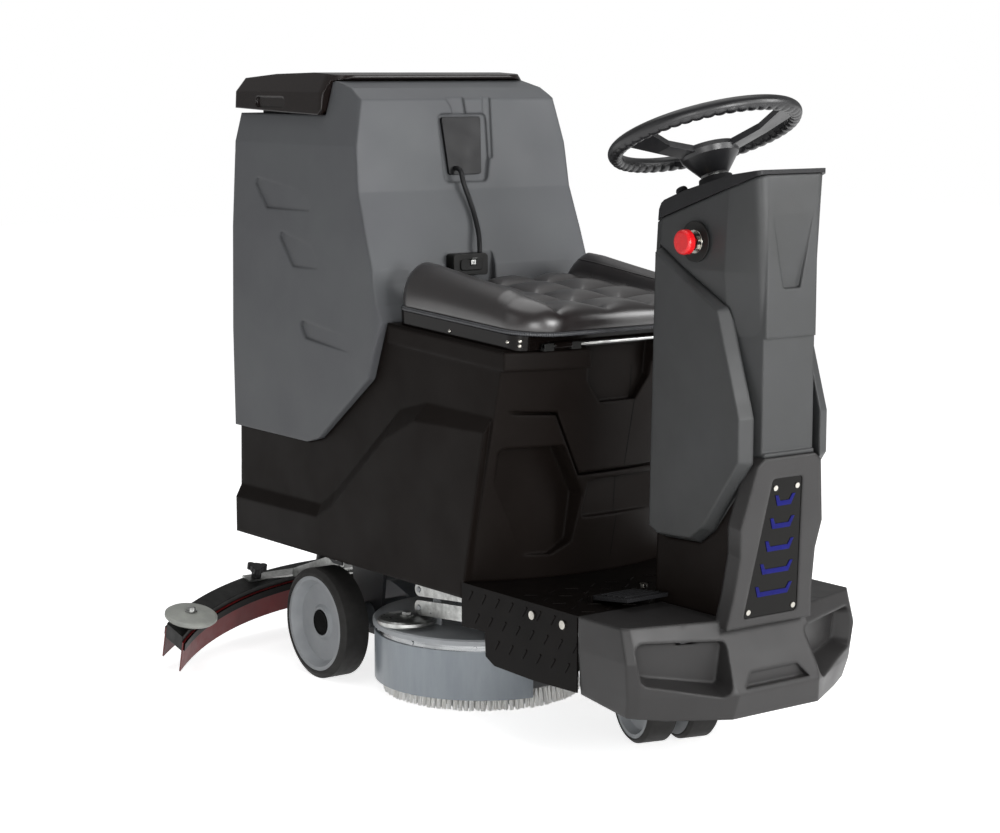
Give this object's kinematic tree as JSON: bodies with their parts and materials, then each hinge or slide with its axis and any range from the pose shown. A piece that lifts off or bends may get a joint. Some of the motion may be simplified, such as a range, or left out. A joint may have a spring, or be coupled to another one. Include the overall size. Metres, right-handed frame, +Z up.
{
  "type": "ride-on floor scrubber",
  "caption": "Ride-on floor scrubber with a disc brush deck, curved rear squeegee, tilting recovery tank, driver's seat and steering column.",
  "frame": {"origin": "on the floor, below the middle of the bounding box", "axes": "+X to the driver's left, +Y to the rear of the machine, +Z up; the driver faces -Y"},
  "size_m": [1.042, 1.5446, 1.245],
  "materials": {
    "black_moulding": "textured moulding",
    "tank_grey": "fine textured moulding",
    "lid_black": "polished",
    "tread_black": "powder coat",
    "frame_black": "powder coat",
    "zinc_steel": "zinc plated",
    "stainless": "rolled",
    "bright_nut": "nickel plated",
    "tyre_black": "moulded",
    "rim_grey": "moulded",
    "seat_vinyl": "padded vinyl",
    "skirt_grey": "smooth",
    "bristle_white": "nylon strands",
    "blade_red": "smooth",
    "button_red": "moulded",
    "chevron_blue": "moulded",
    "control_black": "fine grain",
    "battery_case": "moulded",
    "motor_grey": "enamel",
    "roller_grey": "moulded"
  },
  "bodies": {
    "machine": {"chassis_frame": "frame_black", "rear_transaxle": "motor_grey", "steering_bearing": "frame_black", "steering_chain": "zinc_steel", "main_body": "black_moulding", "platform_plate": "tread_black", "platform_bolts": "bright_nut", "front_bumper": "black_moulding", "front_panel": "control_black", "panel_chevrons": "chevron_blue", "panel_screws": "bright_nut", "lower_column": "black_moulding", "console_shell": "black_moulding", "column_covers": "black_moulding", "console_cap": "control_black", "console_fittings": "bright_nut", "tank_hinge": "frame_black", "seat_hinge": "zinc_steel", "batteries": "battery_case", "vacuum_motor": "motor_grey"},
    "steering": {"steering_wheel": "control_black", "steering_shaft": "zinc_steel"},
    "horn": {"horn_button": "control_black"},
    "column_shaft": {"lower_shaft": "zinc_steel"},
    "fork": {"steering_fork": "frame_black"},
    "front_wheel_left": {"front_tyre_left": "tyre_black", "front_rim_left": "rim_grey"},
    "front_wheel_right": {"front_tyre_right": "tyre_black", "front_rim_right": "rim_grey"},
    "rear_wheel_left": {"rear_tyre_left": "tyre_black", "rear_rim_left": "rim_grey"},
    "rear_wheel_right": {"rear_tyre_right": "tyre_black", "rear_rim_right": "rim_grey"},
    "pedal": {"accelerator_pedal": "control_black"},
    "estop": {"estop_button": "button_red"},
    "key": {"ignition_key": "zinc_steel"},
    "deck": {"deck_housing": "roller_grey", "deck_band": "stainless", "deck_skirt": "skirt_grey", "brush_motor": "motor_grey"},
    "brush": {"scrub_brush": "bristle_white"},
    "side_roller": {"guide_roller": "roller_grey"},
    "upper_links": {"lift_link_upper": "zinc_steel"},
    "lower_links": {"lift_link_lower": "zinc_steel"},
    "squeegee_arm": {"squeegee_hanger": "zinc_steel"},
    "squeegee": {"squeegee_plate": "zinc_steel", "squeegee_body": "black_moulding", "squeegee_blades": "blade_red", "blade_straps": "control_black"},
    "knob_left": {"squeegee_knob_left": "control_black"},
    "knob_right": {"squeegee_knob_right": "control_black"},
    "roller_left": {"end_roller_left": "roller_grey"},
    "roller_right": {"end_roller_right": "roller_grey"},
    "seat": {"seat_pan": "control_black", "seat_cushion": "seat_vinyl"},
    "tank": {"recovery_tank": "tank_grey", "tank_plate": "control_black", "tank_connector": "control_black", "tank_cable": "control_black"},
    "lid": {"tank_lid": "lid_black"}
  },
  "joints": [
    {"name": "steering_turn", "type": "hinge", "parent": "machine", "child": "steering", "pos_m": [0, -0.53699, 1.136], "axis": [0, 0.3616, 0.9323], "range_deg": [-105, 165]},
    {"name": "horn_press", "type": "slide", "parent": "steering", "child": "horn", "axis": [0, -0.3616, -0.9323], "range_m": [0, 0.003], "stiffness_N_per_m": 600, "springref_m": -0.001},
    {"name": "column_shaft_turn", "type": "hinge", "parent": "machine", "child": "column_shaft", "pos_m": [0, -0.59898, 0.6], "axis": [0, 0, 1], "range_deg": [-105, 165]},
    {"name": "fork_turn", "type": "hinge", "parent": "machine", "child": "fork", "pos_m": [0, -0.44699, 0.23], "axis": [0, 0, 1], "range_deg": [-52.5, 82.5]},
    {"name": "front_wheel_left_spin", "type": "hinge", "parent": "fork", "child": "front_wheel_left", "pos_m": [0.0425, -0.45837, 0.087], "axis": [0.9659, -0.2588, 0], "continuous": true},
    {"name": "front_wheel_right_spin", "type": "hinge", "parent": "fork", "child": "front_wheel_right", "pos_m": [-0.0425, -0.4356, 0.087], "axis": [0.9659, -0.2588, 0], "continuous": true},
    {"name": "rear_wheel_left_spin", "type": "hinge", "parent": "machine", "child": "rear_wheel_left", "pos_m": [0.256, 0.33202, 0.115], "axis": [1, 0, 0], "continuous": true},
    {"name": "rear_wheel_right_spin", "type": "hinge", "parent": "machine", "child": "rear_wheel_right", "pos_m": [-0.256, 0.33202, 0.115], "axis": [1, 0, 0], "continuous": true},
    {"name": "pedal_press", "type": "hinge", "parent": "machine", "child": "pedal", "pos_m": [-0.14, -0.45299, 0.2968], "axis": [1, 0, 0], "range_deg": [0, 7], "stiffness_Nm_per_rad": 3, "springref_deg": -5.73},
    {"name": "estop_press", "type": "slide", "parent": "machine", "child": "estop", "axis": [1, 0, 0], "range_m": [0, 0.006]},
    {"name": "key_turn", "type": "hinge", "parent": "machine", "child": "key", "pos_m": [0.1, -0.55598, 0.965], "axis": [1, 0, 0], "range_deg": [0, 60]},
    {"name": "brush_lift", "type": "slide", "parent": "machine", "child": "deck", "axis": [0, 0, 1], "range_m": [0, 0.03]},
    {"name": "upper_links_swing", "type": "hinge", "parent": "machine", "child": "upper_links", "pos_m": [-0.052, -0.14799, 0.246], "axis": [1, 0, 0], "range_deg": [0, 8.6]},
    {"name": "lower_links_swing", "type": "hinge", "parent": "machine", "child": "lower_links", "pos_m": [-0.052, -0.14799, 0.209], "axis": [1, 0, 0], "range_deg": [0, 8.6]},
    {"name": "brush_spin", "type": "hinge", "parent": "deck", "child": "brush", "pos_m": [-0.052, 0.06802, 0.1], "axis": [0, 0, 1], "continuous": true},
    {"name": "side_roller_spin", "type": "hinge", "parent": "deck", "child": "side_roller", "pos_m": [-0.234, 0.07301, 0.165], "axis": [0, 0, 1], "continuous": true},
    {"name": "squeegee_lift", "type": "hinge", "parent": "machine", "child": "squeegee_arm", "pos_m": [0, 0.48202, 0.208], "axis": [-1, 0, 0], "range_deg": [0, 14]},
    {"name": "squeegee_swivel", "type": "hinge", "parent": "squeegee_arm", "child": "squeegee", "pos_m": [0, 0.6747, 0.13415], "axis": [0, -0.2419, 0.9703], "range_deg": [-3, 3]},
    {"name": "knob_left_turn", "type": "hinge", "parent": "squeegee", "child": "knob_left", "pos_m": [0.205, 0.70042, 0.14674], "axis": [0, -0.2419, 0.9703], "continuous": true},
    {"name": "knob_right_turn", "type": "hinge", "parent": "squeegee", "child": "knob_right", "pos_m": [-0.205, 0.70042, 0.14674], "axis": [0, -0.2419, 0.9703], "continuous": true},
    {"name": "roller_left_spin", "type": "hinge", "parent": "squeegee", "child": "roller_left", "pos_m": [0.466, 0.53208, 0.1192], "axis": [0, -0.2419, 0.9703], "continuous": true},
    {"name": "roller_right_spin", "type": "hinge", "parent": "squeegee", "child": "roller_right", "pos_m": [-0.466, 0.53208, 0.1192], "axis": [0, -0.2419, 0.9703], "continuous": true},
    {"name": "seat_tilt", "type": "hinge", "parent": "machine", "child": "seat", "pos_m": [0, -0.31599, 0.746], "axis": [1, 0, 0], "range_deg": [0, 60]},
    {"name": "tank_tilt", "type": "hinge", "parent": "machine", "child": "tank", "pos_m": [0, 0.68602, 0.487], "axis": [-1, 0, 0], "range_deg": [0, 60]},
    {"name": "lid_open", "type": "hinge", "parent": "tank", "child": "lid", "pos_m": [0, 0.29801, 1.232], "axis": [1, 0, 0], "range_deg": [0, 75]}
  ],
  "couplings": [
    {"joint": "column_shaft_turn", "follows": "steering_turn", "ratio": 1},
    {"joint": "fork_turn", "follows": "steering_turn", "ratio": 0.5},
    {"joint": "upper_links_swing", "follows": "brush_lift", "rad_per_m": 4.934},
    {"joint": "lower_links_swing", "follows": "brush_lift", "rad_per_m": 4.934}
  ]
}
